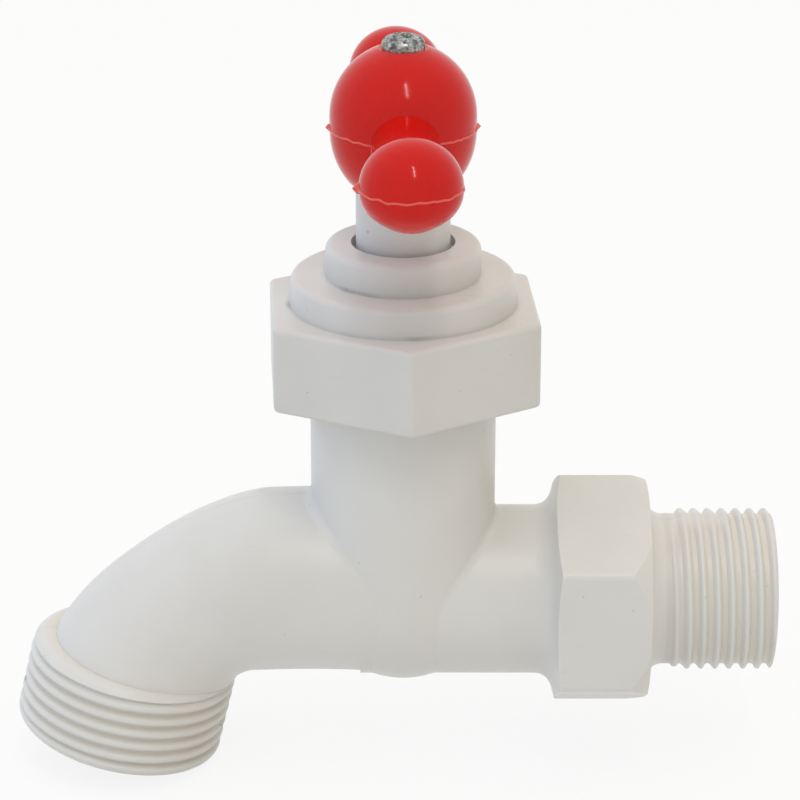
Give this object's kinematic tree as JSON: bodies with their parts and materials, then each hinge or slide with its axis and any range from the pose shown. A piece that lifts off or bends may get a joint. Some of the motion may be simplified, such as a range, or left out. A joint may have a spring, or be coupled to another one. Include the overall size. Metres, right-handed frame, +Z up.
{
  "type": "hose bibb",
  "caption": "Moulded plastic hose bibb with a threaded hexagon inlet, hex capped valve, ball ended T handle and a curved spout with a hose thread.",
  "frame": {"origin": "centre of the open end of the inlet, on the axis of its pipe thread", "axes": "+X leaves the inlet along its thread, +Z runs up the stem, the spout bends down on the -X side"},
  "size_m": [0.0978, 0.0622, 0.0968],
  "materials": {
    "white_plastic": "semi-gloss moulded white plastic with light scuffs",
    "stem_plastic": "smooth moulded white plastic",
    "red_plastic": "glossy moulded red plastic",
    "zinc_screw": "spangled zinc plate",
    "black_rubber": "matt moulded rubber",
    "brass_screw": "turned brass"
  },
  "bodies": {
    "tap": {"body": "white_plastic", "bonnet": "white_plastic", "bonnet_gasket": "black_rubber"},
    "valve": {"valve_jumper": "stem_plastic", "seat_washer": "black_rubber", "washer_screw": "brass_screw"},
    "spindle": {"stem": "stem_plastic", "stem_o_ring": "black_rubber", "handle": "red_plastic", "handle_screw": "zinc_screw"}
  },
  "joints": [
    {"name": "stem_lift", "type": "slide", "parent": "tap", "child": "valve", "axis": [0, 0, 1], "range_m": [0, 0.0046]},
    {"name": "handle_turn", "type": "hinge", "parent": "valve", "child": "spindle", "pos_m": [-0.0475, 0, 0.0622], "axis": [0, 0, 1], "range_deg": [0, 630]}
  ],
  "couplings": [
    {"joint": "stem_lift", "follows": "handle_turn", "m_per_rad": 0.0004138}
  ]
}
